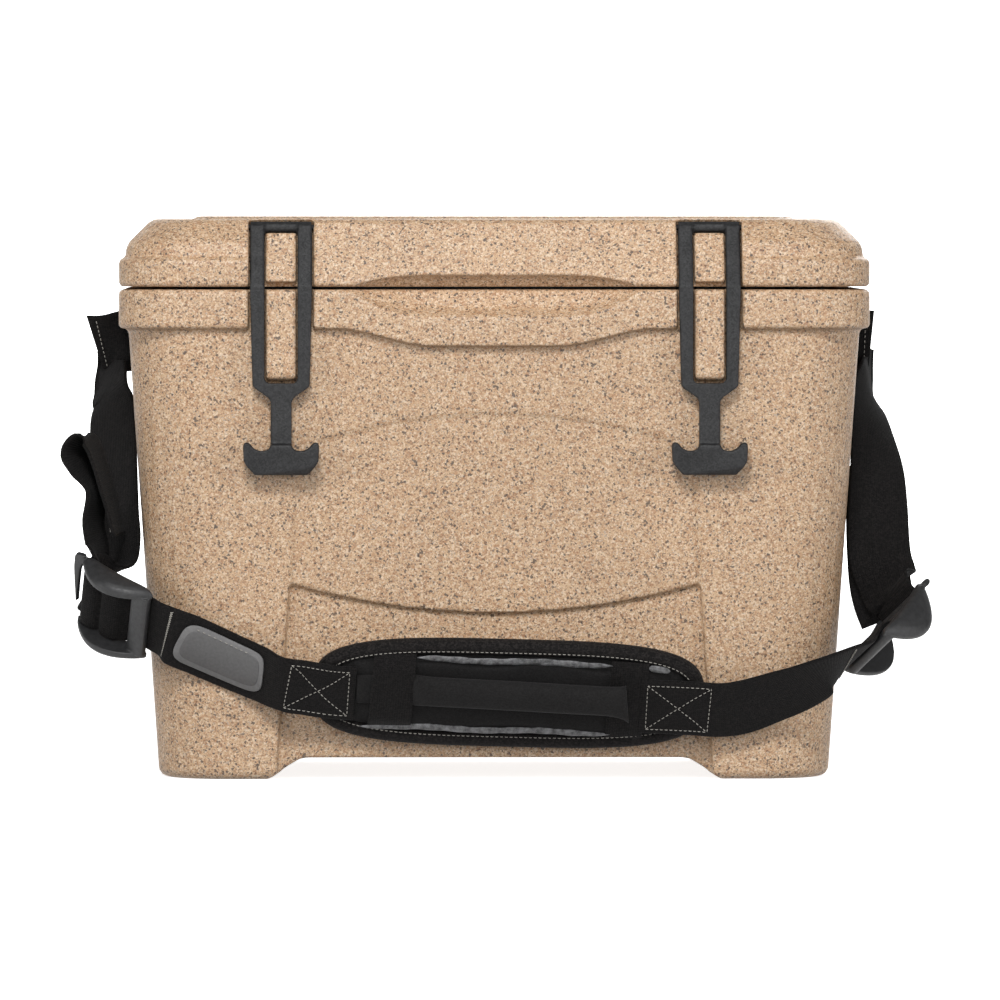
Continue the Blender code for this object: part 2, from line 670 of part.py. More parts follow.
LEFT_FRONT = [
    (-194, -130, 87.5, 0.2, -0.45, 0.87), (-178, -126.5, 80.5, 0.28, -0.45, 0.85),
    (-160, -125.5, 72.5, 0.28, -0.47, 0.84), (-142, -131, 65, 0.2, -0.5, 0.85),
]
RIGHT_FRONT = [
    (150, -133, 45, -0.15, -0.5, 0.85), (168, -135, 51, -0.2, -0.6, 0.77),
    (186, -141, 58, -0.12, -0.7, 0.7), (199, -144.5, 65, 0.12, -0.72, 0.68),
    (209, -141, 70.5, 0.32, -0.7, 0.64),
]
RIGHT_SIDE = [
    (240.8, -80.5, 118, 0.88, -0.38, 0.25), (236.4, -74.5, 132, 0.98, -0.1, 0.1),
    (235.3, -66, 148, 1, 0.05, 0), (235.7, -56, 166, 0.95, 0.3, 0), (235.9, -42, 189, 0.83, 0.55, 0),
    (233.8, -26, 214, 0.58, 0.81, 0), (231.1, -14, 231, 0.38, 0.92, 0), (230.3, -4, 244, 0.15, 0.98, 0),
]
RIGHT_TAIL = [
    (243, -66.5, 96, 1, 0, 0.3), (238.5, -65.5, 108, 1, 0, 0.2), (236, -64.5, 122, 1, 0, 0.05),
    (234.9, -58.6, 146, 1, 0.04, 0), (235, -49, 166, 0.96, 0.27, 0), (234.8, -38, 184, 0.86, 0.5, 0),
]
FRONT_TO_BAR = [(32, -4.0), (26, -4.0), (20, -4.3), (14.6, -4.3)]
IN_BUCKLE = [
    (6.4, 0.4), (3.4, 3.5), (-1, 4.8), (-6, 4.3), (-9.6, 2.4), (-13.5, 4.3), (-18, 4.6), (-21.8, 3.9),
    (-24, 0.5), (-25.4, -4.8), (-28, -9.6),
]


def on_pad(points):
    """Where a strap is sewn to the pad's face, from (u, v) points."""
    return [(*PAD.at(u, v, 6.6), *PAD.v) for u, v in points]


def make_straps():
    make_buckle("buckle_left", BUCKLE_LEFT, 1)
    make_buckle("buckle_right", BUCKLE_RIGHT, -1)
    anchor_loop("left", -1, 245.0, -0.5)
    anchor_loop("right", 1, 234.0, 0.0)
    ribbon("strap_side_left", LEFT_SIDE + local_route(BUCKLE_LEFT, IN_BUCKLE[::-1], 1), 56)
    ribbon("strap_tail_left", LEFT_TAIL, 40)
    end = on_pad([(-126, 5.5), (-112, 2.5), (-98, 0.5), (-82, 0.0)])
    front_rows = ribbon_rows(local_route(BUCKLE_LEFT, FRONT_TO_BAR[::-1], 1) + LEFT_FRONT + end, 44)
    tape("strap_front_left", front_rows, "webbing")
    make_label(front_rows)
    start = on_pad([(84, -3.0), (98, -3.2), (114, -3.6), (128, -4.2)])
    ribbon("strap_front_right", start + RIGHT_FRONT + local_route(BUCKLE_RIGHT, FRONT_TO_BAR, -1), 44)
    ribbon("strap_side_right", local_route(BUCKLE_RIGHT, IN_BUCKLE, -1) + RIGHT_SIDE, 56)
    ribbon("strap_tail_right", RIGHT_TAIL, 20)
    make_pad()


def pad_outline(grow):
    """Rounded outline of the pad in its own plane, moved out by grow."""
    half_u, half_v = PAD_HALF[0] + grow, PAD_HALF[1] + grow
    points = []
    for i in range(40):
        a = 2 * math.pi * i / 40
        u = math.copysign(abs(math.cos(a)) ** PAD_POWER, math.cos(a))
        v = math.copysign(abs(math.sin(a)) ** PAD_POWER, math.sin(a))
        points.append((half_u * u, half_v * v))
    return points


def pad_slab(name, grow, low, high, key=None):
    slab = loft(name, [[(u, v, w) for u, v in pad_outline(grow)] for w in (low, high)], key)
    PAD.move(slab)
    return slab


def grip_ring(u, radius):
    """Flattened ring of the rolled hand grip."""
    ring = []
    for i in range(16):
        a = 2 * math.pi * i / 16
        ring.append((u, 1.0 + radius * math.cos(a), 15.5 + 0.62 * radius * math.sin(a)))
    return ring


def make_pad():
    pad_slab("shoulder_pad", -4.0, -PAD_T / 2, PAD_T / 2, "pad")
    binding = pad_slab("pad_binding", 0.0, -3.4, 3.4, "webbing")
    cut(binding, pad_slab("binding_inside", -3.6, -9, 9))
    for word, u, v, half in (("left", -56.5, -3.0, 12.6), ("right", 72.5, -5.5, 10.0)):
        low = (u - half, v - 24.0, 5.5)
        band = box(f"grip_band_{word}", low, (u + half, v + 24.0, 8.0), "webbing")
        PAD.move(band)
    rings = [grip_ring(-43.5, 8.0), grip_ring(-41.5, 10.5), grip_ring(56.0, 10.5), grip_ring(60.0, 8.0)]
    grip = loft("grip_roll", rings, "pad", smooth=40)
    PAD.move(grip)


def make_label(front_rows):
    """Rubber-edged patch on the front webbing; it carries no mark."""
    tape("strap_label", front_rows[11:24], "label", width=31.0, thick=1.4, lift=WEB_T / 2 + 0.4 + 0.7)


def main():
    clear_scene()
    make_tub()
    make_lid()
    make_latch("left", -1)
    make_latch("right", 1)
    make_straps()


main()
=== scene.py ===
"""Looks of the cooler chest: speckled rotomoulded shells, rubber latches and the
padded webbing strap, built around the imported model. Metres, front faces -Y."""

import json
import math

import bmesh
import bpy
import numpy as np
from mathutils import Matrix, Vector
from mathutils.bvhtree import BVHTree


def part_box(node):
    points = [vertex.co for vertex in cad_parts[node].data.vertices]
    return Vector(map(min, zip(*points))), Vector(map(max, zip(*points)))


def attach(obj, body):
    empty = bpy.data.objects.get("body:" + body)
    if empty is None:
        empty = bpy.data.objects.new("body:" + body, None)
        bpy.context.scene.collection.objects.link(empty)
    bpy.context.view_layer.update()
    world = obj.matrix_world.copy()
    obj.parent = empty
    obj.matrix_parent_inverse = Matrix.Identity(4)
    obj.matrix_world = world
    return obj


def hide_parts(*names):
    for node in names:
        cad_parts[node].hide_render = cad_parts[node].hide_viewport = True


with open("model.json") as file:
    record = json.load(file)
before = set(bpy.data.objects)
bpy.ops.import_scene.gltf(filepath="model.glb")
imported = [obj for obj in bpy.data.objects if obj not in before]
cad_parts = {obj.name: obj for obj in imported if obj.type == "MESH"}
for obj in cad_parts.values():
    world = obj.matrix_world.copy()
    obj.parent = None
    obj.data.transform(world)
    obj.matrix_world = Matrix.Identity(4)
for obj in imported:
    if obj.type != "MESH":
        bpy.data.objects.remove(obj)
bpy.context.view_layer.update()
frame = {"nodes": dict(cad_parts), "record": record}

nodes = frame["nodes"]
scene = bpy.context.scene
scene.view_settings.view_transform = "Standard"

MM = 0.001
FRONT_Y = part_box("lid_shell")[0][1]
CAMERA_GAP = 6.0             # from the camera to the front of the chest
CAMERA_AT = (-0.1, 0.345)    # x and z of the camera
LOOK_AT = (0.0027, 0.1704)   # x and z of the view's middle, on the plane of the front
LENS = 357.7

WEB = 38.0                   # webbing width and thickness, mm
WEB_T = 2.2
PAD_HALF = (118.5, 37.6)     # half the shoulder pad's length and width, mm
ON_PAD = 6.6                 # height of the straps' ends above the pad's middle plane, mm
CORE_GAP = 0.45              # a foam core lies closer than this to its hollow's wall, mm
CLOTH_STEPS = 20


# ---------------------------------------------------------------- camera

def make_camera():
    data = bpy.data.cameras.new("camera")
    data.lens = LENS
    data.sensor_width = 36.0
    data.clip_end = 60.0
    camera = bpy.data.objects.new("camera", data)
    scene.collection.objects.link(camera)
    camera.location = (CAMERA_AT[0], FRONT_Y - CAMERA_GAP, CAMERA_AT[1])
    aim = Vector((LOOK_AT[0], FRONT_Y, LOOK_AT[1])) - camera.location
    camera.rotation_euler = aim.to_track_quat("-Z", "Y").to_euler()
    scene.camera = camera


make_camera()


# ---------------------------------------------------------------- materials

def linear(r, g, b):
    """Linear colour from 0-255 display values."""
    def one(c):
        c /= 255.0
        return c / 12.92 if c <= 0.04045 else ((c + 0.055) / 1.055) ** 2.4
    return (one(r), one(g), one(b), 1.0)


class Graph:
    """A Principled material with short calls for adding and wiring nodes."""

    def __init__(self, name, colour, roughness, **sockets):
        self.mat = bpy.data.materials.new(name)
        self.mat.use_nodes = True
        self.tree = self.mat.node_tree
        self.shader = self.tree.nodes["Principled BSDF"]
        self.shader.inputs["Base Color"].default_value = colour
        self.shader.inputs["Roughness"].default_value = roughness
        for key, value in sockets.items():
            self.shader.inputs[key.replace("_", " ")].default_value = value

    def node(self, kind, settings=None, **inputs):
        made = self.tree.nodes.new("ShaderNode" + kind)
        for key, value in (settings or {}).items():
            setattr(made, key, value)
        for key, value in inputs.items():
            made.inputs[key].default_value = value
        return made

    def wire(self, source, target):
        self.tree.links.new(source, target)

    def place(self, stretch=(1, 1, 1), uv=False):
        coords = self.node("TexCoord")
        source = coords.outputs["UV" if uv else "Object"]
        mapping = self.node("Mapping")
        mapping.inputs["Scale"].default_value = stretch
        self.wire(source, mapping.inputs["Vector"])
        return mapping.outputs["Vector"]

    def noise(self, where, scale, detail=2.0, rough=0.5):
        made = self.node("TexNoise", Scale=scale, Detail=detail, Roughness=rough)
        self.wire(where, made.inputs["Vector"])
        return made.outputs["Fac"]

    def cells(self, where, scale):
        """Random value of each Voronoi cell."""
        made = self.node("TexVoronoi", Scale=scale)
        self.wire(where, made.inputs["Vector"])
        split = self.node("SeparateColor")
        self.wire(made.outputs["Color"], split.inputs["Color"])
        return split.outputs["Red"]

    def ramp(self, value, stops, steps=False):
        made = self.node("ValToRGB")
        bar = made.color_ramp
        bar.interpolation = "CONSTANT" if steps else "LINEAR"
        while len(bar.elements) < len(stops):
            bar.elements.new(0.5)
        for element, (at, colour) in zip(bar.elements, stops):
            element.position = at
            element.color = colour if len(colour) == 4 else (*colour, 1.0)
        self.wire(value, made.inputs["Fac"])
        return made.outputs["Color"]

    def math(self, kind, a, b):
        made = self.node("Math", {"operation": kind})
        for socket, value in zip(made.inputs, (a, b)):
            if isinstance(value, (int, float)):
                socket.default_value = value
            else:
                self.wire(value, socket)
        return made.outputs["Value"]

    def mix(self, factor, a, b, blend="MIX"):
        made = self.node("Mix", {"data_type": "RGBA", "blend_type": blend})
        sockets = (made.inputs[0], made.inputs[6], made.inputs[7])
        for socket, value in zip(sockets, (factor, a, b)):
            if isinstance(value, (int, float, tuple)):
                socket.default_value = value
            else:
                self.wire(value, socket)
        return made.outputs[2]

    def bump(self, height, strength, distance, before=None):
        made = self.node("Bump", Strength=strength, Distance=distance)
        self.wire(height, made.inputs["Height"])
        if before:
            self.wire(before, made.inputs["Normal"])
        return made.outputs["Normal"]

    def into(self, name, value):
        self.wire(value, self.shader.inputs[name])


def grey(v):
    return (v, v, v, 1.0)


def sand_plastic():
    """Rotomoulded polyethylene full of sand-coloured grains."""
    g = Graph("sand_plastic", linear(195, 168, 138), 0.5)
    where = g.place()
    grains = [
        (0.0, linear(60, 50, 46)), (0.07, linear(128, 92, 66)), (0.19, linear(178, 132, 94)),
        (0.36, linear(196, 164, 130)), (0.66, linear(212, 182, 150)), (0.84, linear(230, 208, 180)),
        (0.94, linear(168, 158, 148)),
    ]
    fine = g.ramp(g.cells(where, 1350.0), grains, steps=True)
    base = g.mix(0.38, fine, linear(190, 158, 125))
    specks = g.cells(g.place((1.0, 1.07, 0.93)), 860.0)
    dark = g.ramp(specks, [(0.0, grey(1.0)), (0.06, grey(0.0))], steps=True)
    base = g.mix(g.math("MULTIPLY", dark, 0.8), base, linear(58, 50, 48))
    pale = g.ramp(specks, [(0.0, grey(0.0)), (0.91, grey(1.0))], steps=True)
    base = g.mix(g.math("MULTIPLY", pale, 0.45), base, linear(236, 216, 190))
    rust = g.cells(g.place((0.95, 1.0, 1.08)), 700.0)
    rust = g.ramp(rust, [(0.0, grey(1.0)), (0.10, grey(0.0))], steps=True)
    base = g.mix(g.math("MULTIPLY", rust, 0.45), base, linear(150, 102, 66))
    cloud = g.ramp(g.noise(where, 14.0, 3.0), [(0.35, grey(0.95)), (0.7, grey(1.0))])
    g.into("Base Color", g.mix(1.0, base, cloud, "MULTIPLY"))
    g.into("Roughness", g.ramp(g.noise(where, 420.0), [(0.3, grey(0.46)), (0.7, grey(0.62))]))
    peel = g.bump(g.noise(where, 160.0, 1.0), 0.12, 0.0006)
    g.into("Normal", g.bump(g.noise(where, 900.0, 2.0), 0.16, 0.0003, peel))
    return g.mat


def latch_rubber():
    g = Graph("latch_rubber", linear(38, 38, 39), 0.6, Specular_IOR_Level=0.3)
    where = g.place()
    tone = g.mix(g.cells(where, 1150.0), linear(17, 17, 18), linear(45, 45, 46))
    g.into("Base Color", tone)
    g.into("Roughness", g.ramp(g.noise(where, 90.0), [(0.3, grey(0.46)), (0.7, grey(0.6))]))
    g.into("Normal", g.bump(g.noise(where, 1100.0, 3.0), 0.5, 0.0003))
    return g.mat


def webbing(name="webbing", tone=12.0, rib=1.0):
    """Close-woven nylon: ribs across the strap, crossed by fine warp lines; its colour is painted darker in
    the weave's grooves as painted shade and lighter on the ribs as painted highlight.
    """
    g = Graph(name, linear(tone, tone * 0.93, tone * 0.93), 0.85, Specular_IOR_Level=0.14, Sheen_Weight=0.02)
    where = g.place(uv=True)
    warp = g.node("TexWave", {"bands_direction": "X"}, Scale=220.0 * rib, Distortion=0.6, Detail=1.0)
    weft = g.node("TexWave", {"bands_direction": "Y"}, Scale=260.0 * rib, Distortion=0.8, Detail=1.0)
    for wave in (warp, weft):
        g.wire(where, wave.inputs["Vector"])
    height = g.math("MULTIPLY", warp.outputs["Fac"], weft.outputs["Fac"])
    fuzz = g.noise(g.place(), 900.0, 3.0)
    # painted light and shade: the weave's height darkens its grooves and lightens its rib tops in the base
    # colour
    light = linear(tone * 1.7, tone * 1.56, tone * 1.54)
    base = g.mix(height, linear(tone * 0.6, tone * 0.54, tone * 0.54), light)
    speck = g.ramp(g.cells(g.place(), 1100.0), [(0.3, grey(0.0)), (1.0, grey(0.7))])
    base = g.mix(speck, base, linear(tone * 2.6, tone * 2.4, tone * 2.35))
    g.into("Base Color", base)
    first = g.bump(height, 0.55, 0.0004)
    g.into("Normal", g.bump(fuzz, 0.25, 0.0003, first))
    return g.mat


def pad_fabric():
    """Brushed fabric over foam."""
    g = Graph("pad_fabric", linear(22, 21, 21), 0.9, Specular_IOR_Level=0.18, Sheen_Weight=0.03)
    where = g.place()
    knit = g.cells(where, 1500.0)
    base = g.mix(knit, linear(14, 13, 13), linear(30, 29, 29))
    patch = g.noise(where, 60.0, 3.0)
    g.into("Base Color", g.mix(g.math("MULTIPLY", patch, 0.4), base, linear(38, 37, 37)))
    first = g.bump(g.noise(where, 1300.0, 2.0), 0.5, 0.0004)
    g.into("Normal", g.bump(g.noise(where, 45.0, 2.0), 0.25, 0.002, first))
    return g.mat


def buckle_plastic():
    g = Graph("buckle_plastic", linear(34, 34, 35), 0.4)
    where = g.place()
    tones = [(0.3, linear(26, 26, 27)), (0.7, linear(40, 40, 41))]
    g.into("Base Color", g.ramp(g.noise(where, 300.0, 3.0), tones))
    g.into("Roughness", g.ramp(g.noise(where, 700.0), [(0.3, grey(0.42)), (0.7, grey(0.58))]))
    g.into("Normal", g.bump(g.noise(where, 1600.0, 2.0), 0.3, 0.0002))
    return g.mat


def plain(name, colour, roughness, scale, **sockets):
    """A material whose tone and surface vary a little."""
    g = Graph(name, colour, roughness, **sockets)
    where = g.place()
    dim = tuple(c * 0.8 for c in colour[:3]) + (1.0,)
    g.into("Base Color", g.ramp(g.noise(where, scale, 3.0), [(0.3, dim), (0.7, colour)]))
    g.into("Normal", g.bump(g.noise(where, scale * 3.0, 3.0), 0.3, 0.0003))
    return g.mat


def silver_tape():
    """Creased reflective tape, its colour painted brighter and darker in patches: painted highlights where a
    crease would catch the light.
    """
    g = Graph("silver", linear(84, 84, 86), 0.45)
    where = g.place()
    # painted reflection: the tape's colour runs from near black to grey in patches standing in for creases
    # catching the light
    tones = [(0.36, grey(0.03)), (0.66, linear(128, 128, 130))]
    g.into("Base Color", g.ramp(g.noise(where, 230.0, 4.0, 0.7), tones))
    g.into("Normal", g.bump(g.noise(where, 420.0, 3.0), 0.6, 0.0006))
    return g.mat


MATERIALS = {
    "sand_plastic": sand_plastic(),
    "latch_rubber": latch_rubber(),
    "webbing": webbing(),
    "binding": webbing("binding", 18.0, 1.4),
    "pad_fabric": pad_fabric(),
    "buckle_plastic": buckle_plastic(),
    "label": plain("label", linear(118, 117, 117), 0.7, 500.0),
    "label_dark": plain("label_dark", linear(92, 91, 91), 0.65, 600.0),
    "thread": plain("thread", linear(172, 168, 160), 0.85, 2500.0),
    "silver": silver_tape(),
    "steel": plain("steel", linear(170, 172, 175), 0.3, 700.0, Metallic=1.0),
    "steel_painted_shade": plain("steel_painted_shade", linear(40, 40, 42), 0.45, 700.0, Metallic=0.8),
    "seal": plain("seal", linear(48, 48, 48), 0.6, 500.0),
    "foam": plain("foam", linear(222, 208, 160), 0.95, 350.0),
}


# ---------------------------------------------------------------- shared mesh code

def finish_piece(obj, body, slot, material, *replaced):
    obj.data.materials.clear()
    obj.data.materials.append(MATERIALS[material])
    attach(obj, body)
    if replaced:
        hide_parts(*replaced)
    return obj


def new_object(name, mesh):
    obj = bpy.data.objects.new(name, mesh)
    scene.collection.objects.link(obj)
    return obj


def mesh_object(name, verts, faces, uvs=None):
    """Mesh from points in millimetres."""
    mesh = bpy.data.meshes.new(name)
    mesh.from_pydata([Vector(v) * MM for v in verts], [], faces)
    if uvs is not None:
        layer = mesh.uv_layers.new(name="weave")
        for loop in mesh.loops:
            layer.data[loop.index].uv = uvs[loop.vertex_index]
    bm = bmesh.new()
    bm.from_mesh(mesh)
    bmesh.ops.recalc_face_normals(bm, faces=bm.faces)
    bm.to_mesh(mesh)
    bm.free()
    mesh.shade_smooth()
    return new_object(name, mesh)


def bake_modifiers(obj):
    """Replace an object's mesh with what its modifiers give."""
    graph = bpy.context.evaluated_depsgraph_get()
    graph.update()
    mesh = bpy.data.meshes.new_from_object(obj.evaluated_get(graph))
    obj.modifiers.clear()
    old = obj.data
    obj.data = mesh
    bpy.data.meshes.remove(old)
    mesh.shade_smooth()
    return obj


def loft_faces(rings, count):
    """Faces that join rings of count points each, with both ends closed."""
    faces = []
    for r in range(rings - 1):
        for i in range(count):
            j = (i + 1) % count
            faces.append([r * count + i, r * count + j, (r + 1) * count + j, (r + 1) * count + i])
    faces.append(list(range(count))[::-1])
    faces.append(list(range((rings - 1) * count, rings * count)))
    return faces


def node_mesh(name):
    """Welded copy of a CAD node's mesh as a bmesh."""
    source = nodes[name]
    bm = bmesh.new()
    bm.from_mesh(source.data)
    bm.transform(source.matrix_world)
    bmesh.ops.remove_doubles(bm, verts=bm.verts, dist=1e-6)
    return bm


def soft_copy(name, node, voxel, rounds, keep, core=None):
    """Copy of a moulded CAD node with every edge and corner rounded, as moulding leaves it:
    voxel in mm, rounds of smoothing, and keep, the share of its faces that stay.
    core is the node that fills its hidden hollow, which the copy leaves out."""
    bm = node_mesh(node)
    if core:
        hidden = node_mesh(core)
        tree = BVHTree.FromBMesh(hidden)
        inner = []
        for face in bm.faces:
            near = tree.find_nearest(face.calc_center_median())
            if near[3] is not None and near[3] < CORE_GAP * MM:
                inner.append(face)
        bmesh.ops.delete(bm, geom=inner, context="FACES")
        edges = [e for e in bm.edges if e.is_boundary]
        bmesh.ops.holes_fill(bm, edges=edges, sides=0)
        bmesh.ops.recalc_face_normals(bm, faces=bm.faces)
        hidden.free()
    mesh = bpy.data.meshes.new(name)
    bm.to_mesh(mesh)
    bm.free()
    obj = new_object(name, mesh)
    remesh = obj.modifiers.new("remesh", "REMESH")
    remesh.mode = "VOXEL"
    remesh.voxel_size = voxel * MM
    soften = obj.modifiers.new("soften", "SMOOTH")
    soften.factor = 0.5
    soften.iterations = rounds
    thin = obj.modifiers.new("thin", "DECIMATE")
    thin.ratio = keep
    return bake_modifiers(obj)


# ---------------------------------------------------------------- strap geometry

def spline(points, samples):
    """Smooth curve through points of any dimension, spread evenly over its length."""
    pts = np.array(points, float)
    ext = np.vstack([2 * pts[0] - pts[1], pts, 2 * pts[-1] - pts[-2]])
    dense = []
    for i in range(1, len(ext) - 2):
        p0, p1, p2, p3 = ext[i - 1:i + 3]
        for t in np.linspace(0, 1, 24, endpoint=False):
            dense.append(0.5 * (2 * p1 + (p2 - p0) * t + (2 * p0 - 5 * p1 + 4 * p2 - p3) * t * t
                                + (3 * p1 - p0 - 3 * p2 + p3) * t ** 3))
    dense.append(pts[-1])
    dense = np.array(dense)
    steps = np.linalg.norm(np.diff(dense[:, :3], axis=0), axis=1)
    run = np.concatenate([[0], np.cumsum(steps)])
    at = np.linspace(0, run[-1], samples)
    return np.array([[np.interp(a, run, dense[:, k]) for k in range(dense.shape[1])] for a in at])


class Place:
    """A local frame in millimetres: u along the strap, v across it, w out of its face."""

    def __init__(self, origin, along, across):
        self.o = Vector(origin)
        self.u = Vector(along).normalized()
        across = Vector(across)
        self.v = (across - self.u * across.dot(self.u)).normalized()
        self.w = self.u.cross(self.v)

    def at(self, u, v, w):
        return self.o + self.u * u + self.v * v + self.w * w


class Strap:
    """Webbing along a route of (x, y, z, across x, across y, across z), in millimetres."""

    def __init__(self, route, step=2.0):
        rough = spline(route, 200)
        self.length = float(np.linalg.norm(np.diff(rough[:, :3], axis=0), axis=1).sum())
        self.count = max(int(self.length / step), 8)
        line = spline(route, self.count)
        self.rows = []
        for i, row in enumerate(line):
            ahead = Vector(line[min(i + 1, self.count - 1)][:3]) - Vector(line[max(i - 1, 0)][:3])
            ahead.normalize()
            across = Vector(row[3:])
            across = (across - ahead * across.dot(ahead)).normalized()
            self.rows.append((Vector(row[:3]), across, ahead.cross(across)))

    def at(self, a, s, h):
        """World point at a along the strap, s across it and h above its middle plane."""
        t = min(max(a / self.length, 0.0), 1.0) * (self.count - 1)
        i = min(int(t), self.count - 2)
        f = t - i
        (c0, a0, n0), (c1, a1, n1) = self.rows[i], self.rows[i + 1]
        across = a0.lerp(a1, f).normalized()
        normal = n0.lerp(n1, f).normalized()
        return c0.lerp(c1, f) + across * s + normal * h

    def nearest(self, point):
        """How far along the strap its line passes closest to a point."""
        steps = [(row[0] - point).length for row in self.rows]
        return steps.index(min(steps)) * self.length / (self.count - 1)

    def path(self):
        return [tuple(row[0] * MM) for row in self.rows]

    def build(self, name, width=WEB, thick=WEB_T, pinch=0):
        """Closed webbing mesh with rounded selvedges. pinch gathers its first end (1) or its
        last end (-1), where it is sewn behind an anchor loop."""
        half = width / 2
        left = [-half + 0.1, -half + 0.8, -half + 2.6, -half * 0.55]
        top = left + [0.0] + [-s for s in left[::-1]]
        verts, uvs = [], []
        for k, (centre, across, normal) in enumerate(self.rows):
            run = k * self.length / self.count
            to_end = run if pinch > 0 else self.length - run
            squeeze = 0.32 + 0.68 * min(to_end / 26.0, 1.0) ** 2 if pinch else 1.0
            ring = []
            for sign, spots in ((-1, top), (1, top[::-1])):
                for s in spots:
                    edge = min(half - abs(s), 1.0)
                    lift = thick / 2 * (0.55 + 0.45 * edge ** 0.5)
                    ring.append((s, sign * lift))
            for s, h in ring:
                pleat = (1 - squeeze) * 1.6 * math.sin(s * 0.9)
                verts.append(centre + across * s * squeeze + normal * (h + pleat))
                uvs.append((s * MM, run * MM))
        faces = loft_faces(self.count, len(top) * 2)
        return mesh_object(name, verts, faces, uvs)


# Along one stitch: share of its length, height of its middle and fatness, in thread sizes.
STITCH_RINGS = ((0.0, -0.3, 0.5), (0.2, 0.8, 1.0), (0.5, 1.0, 1.1), (0.8, 0.8, 1.0), (1.0, -0.3, 0.5))


def stitch_mesh(name, surface, lines, pitch=2.9, stitch=1.9, thread=0.26, lift=0.15):
    """Rows of small raised stitches. surface(a, s, h) gives a point; lines are (a, s) paths."""
    verts, faces = [], []
    for line in lines:
        legs = [math.dist(p, q) for p, q in zip(line, line[1:])]
        total = sum(legs)
        spots = max(int(total / pitch), 1)
        for k in range(spots):
            begin = k * total / spots
            ring_start = len(verts)
            for t, high, fat in STITCH_RINGS:
                run = begin + t * stitch
                for leg, p, q in zip(legs, line, line[1:]):
                    if run <= leg or (p, q) == (line[-2], line[-1]):
                        f = run / leg
                        break
                    run -= leg
                a = p[0] + (q[0] - p[0]) * f
                s = p[1] + (q[1] - p[1]) * f
                side = Vector((q[1] - p[1], p[0] - q[0])).normalized() * thread * fat
                low = lift + thread * (high - 0.9)
                top = lift + thread * (high + 0.9)
                middle = (low + top) / 2
                section = ((side.x, side.y, middle), (0, 0, top), (-side.x, -side.y, middle), (0, 0, low))
                for da, ds, h in section:
                    verts.append(surface(a + da, s + ds, h))
            for face in loft_faces(len(STITCH_RINGS), 4):
                faces.append([ring_start + i for i in face])
    return mesh_object(name, verts, faces)


BUCKLE_LEFT = Place((-230, -114, 103.7), (0.78, -0.47, -0.41), (0.0, -0.5, 0.866))
BUCKLE_RIGHT = Place((236.6, -110, 90.6), (0.455, 0.715, 0.532), (0.48, -0.70, 0.53))
PAD = Place((8, -131, 53.5), (1.0, 0.0, -0.026), (0.0, -0.5, 0.866))
ANCHOR_Z = 265.0

LEFT_SIDE = [
    (-238.5, 14.5, 259, 0.7, -0.7, 0), (-238, 12.5, 251, 0.6, -0.8, 0), (-236.9, 2, 242.5, 0.42, -0.9, 0),
    (-235.4, -8, 234, 0.49, -0.87, 0),
    (-234.4, -12, 226, 0.62, -0.78, 0), (-233.7, -20, 213, 0.67, -0.74, 0),
    (-232.1, -37, 187, 0.67, -0.74, 0), (-230.7, -52, 160, 0.67, -0.74, 0),
    (-229.6, -62, 141, 0.67, -0.74, 0), (-232.2, -71, 127, 0.64, -0.76, 0.08),
    (-241, -82, 119.5, 0.4, -0.69, 0.6),
]
LEFT_TAIL = [
    (-240, -91, 129, -0.15, -0.85, 0.45), (-241.6, -87.8, 141, -0.3, -0.95, 0),
    (-243.4, -88, 149, -0.3, -0.95, 0), (-244, -88, 158, -0.3, -0.95, 0),
    (-242, -88.5, 176, -0.32, -0.95, 0),
    (-250.5, -89.5, 189.5, -0.45, -0.89, 0), (-254.5, -89.5, 197, -0.45, -0.89, 0),
    (-253, -89.5, 204, -0.38, -0.92, 0), (-248.8, -89.5, 207.5, -0.3, -0.95, 0),
    (-244, -89.5, 202, -0.24, -0.97, 0), (-240.4, -89.5, 192, -0.2, -0.98, 0),
    (-236.2, -88.5, 178, -0.2, -0.98, 0), (-232.6, -88, 165, -0.18, -0.98, 0),
    (-228.4, -88, 148, -0.16, -0.99, 0),
]
LEFT_FRONT = [
    (-194, -130, 87.5, 0.2, -0.45, 0.87), (-178, -126.5, 80.5, 0.28, -0.45, 0.85),
    (-160, -125.5, 72.5, 0.28, -0.47, 0.84), (-142, -131, 65, 0.2, -0.5, 0.85),
]
RIGHT_FRONT = [
    (150, -133, 45, -0.15, -0.5, 0.85), (168, -135, 51, -0.2, -0.6, 0.77),
    (186, -141, 58, -0.12, -0.7, 0.7), (199, -144.5, 65, 0.12, -0.72, 0.68),
    (209, -141, 70.5, 0.32, -0.7, 0.64),
]
RIGHT_SIDE = [
    (240.8, -80.5, 118, 0.88, -0.38, 0.25), (236.4, -74.5, 132, 0.98, -0.1, 0.1),
    (235.3, -66, 148, 1, 0.05, 0), (235.7, -56, 166, 0.95, 0.3, 0), (235.9, -42, 189, 0.83, 0.55, 0),
    (233.8, -26, 214, 0.58, 0.81, 0), (231.6, -14, 231, 0.38, 0.92, 0),
    (231.8, -5, 242, 0.18, 0.98, 0), (232.6, 3.6, 251, 0.25, 0.96, 0), (233.2, 5.2, 260, 0.3, 0.95, 0),
]
RIGHT_TAIL = [
    (243, -66.5, 96, 1, 0, 0.3), (238.5, -65.5, 108, 1, 0, 0.2), (236, -64.5, 122, 1, 0, 0.05),
    (234.9, -58.6, 146, 1, 0.04, 0), (235, -49, 166, 0.96, 0.27, 0), (234.8, -38, 184, 0.86, 0.5, 0),
]
FRONT_TO_BAR = [(32, -4.0), (26, -4.0), (20, -4.3), (14.6, -4.3)]
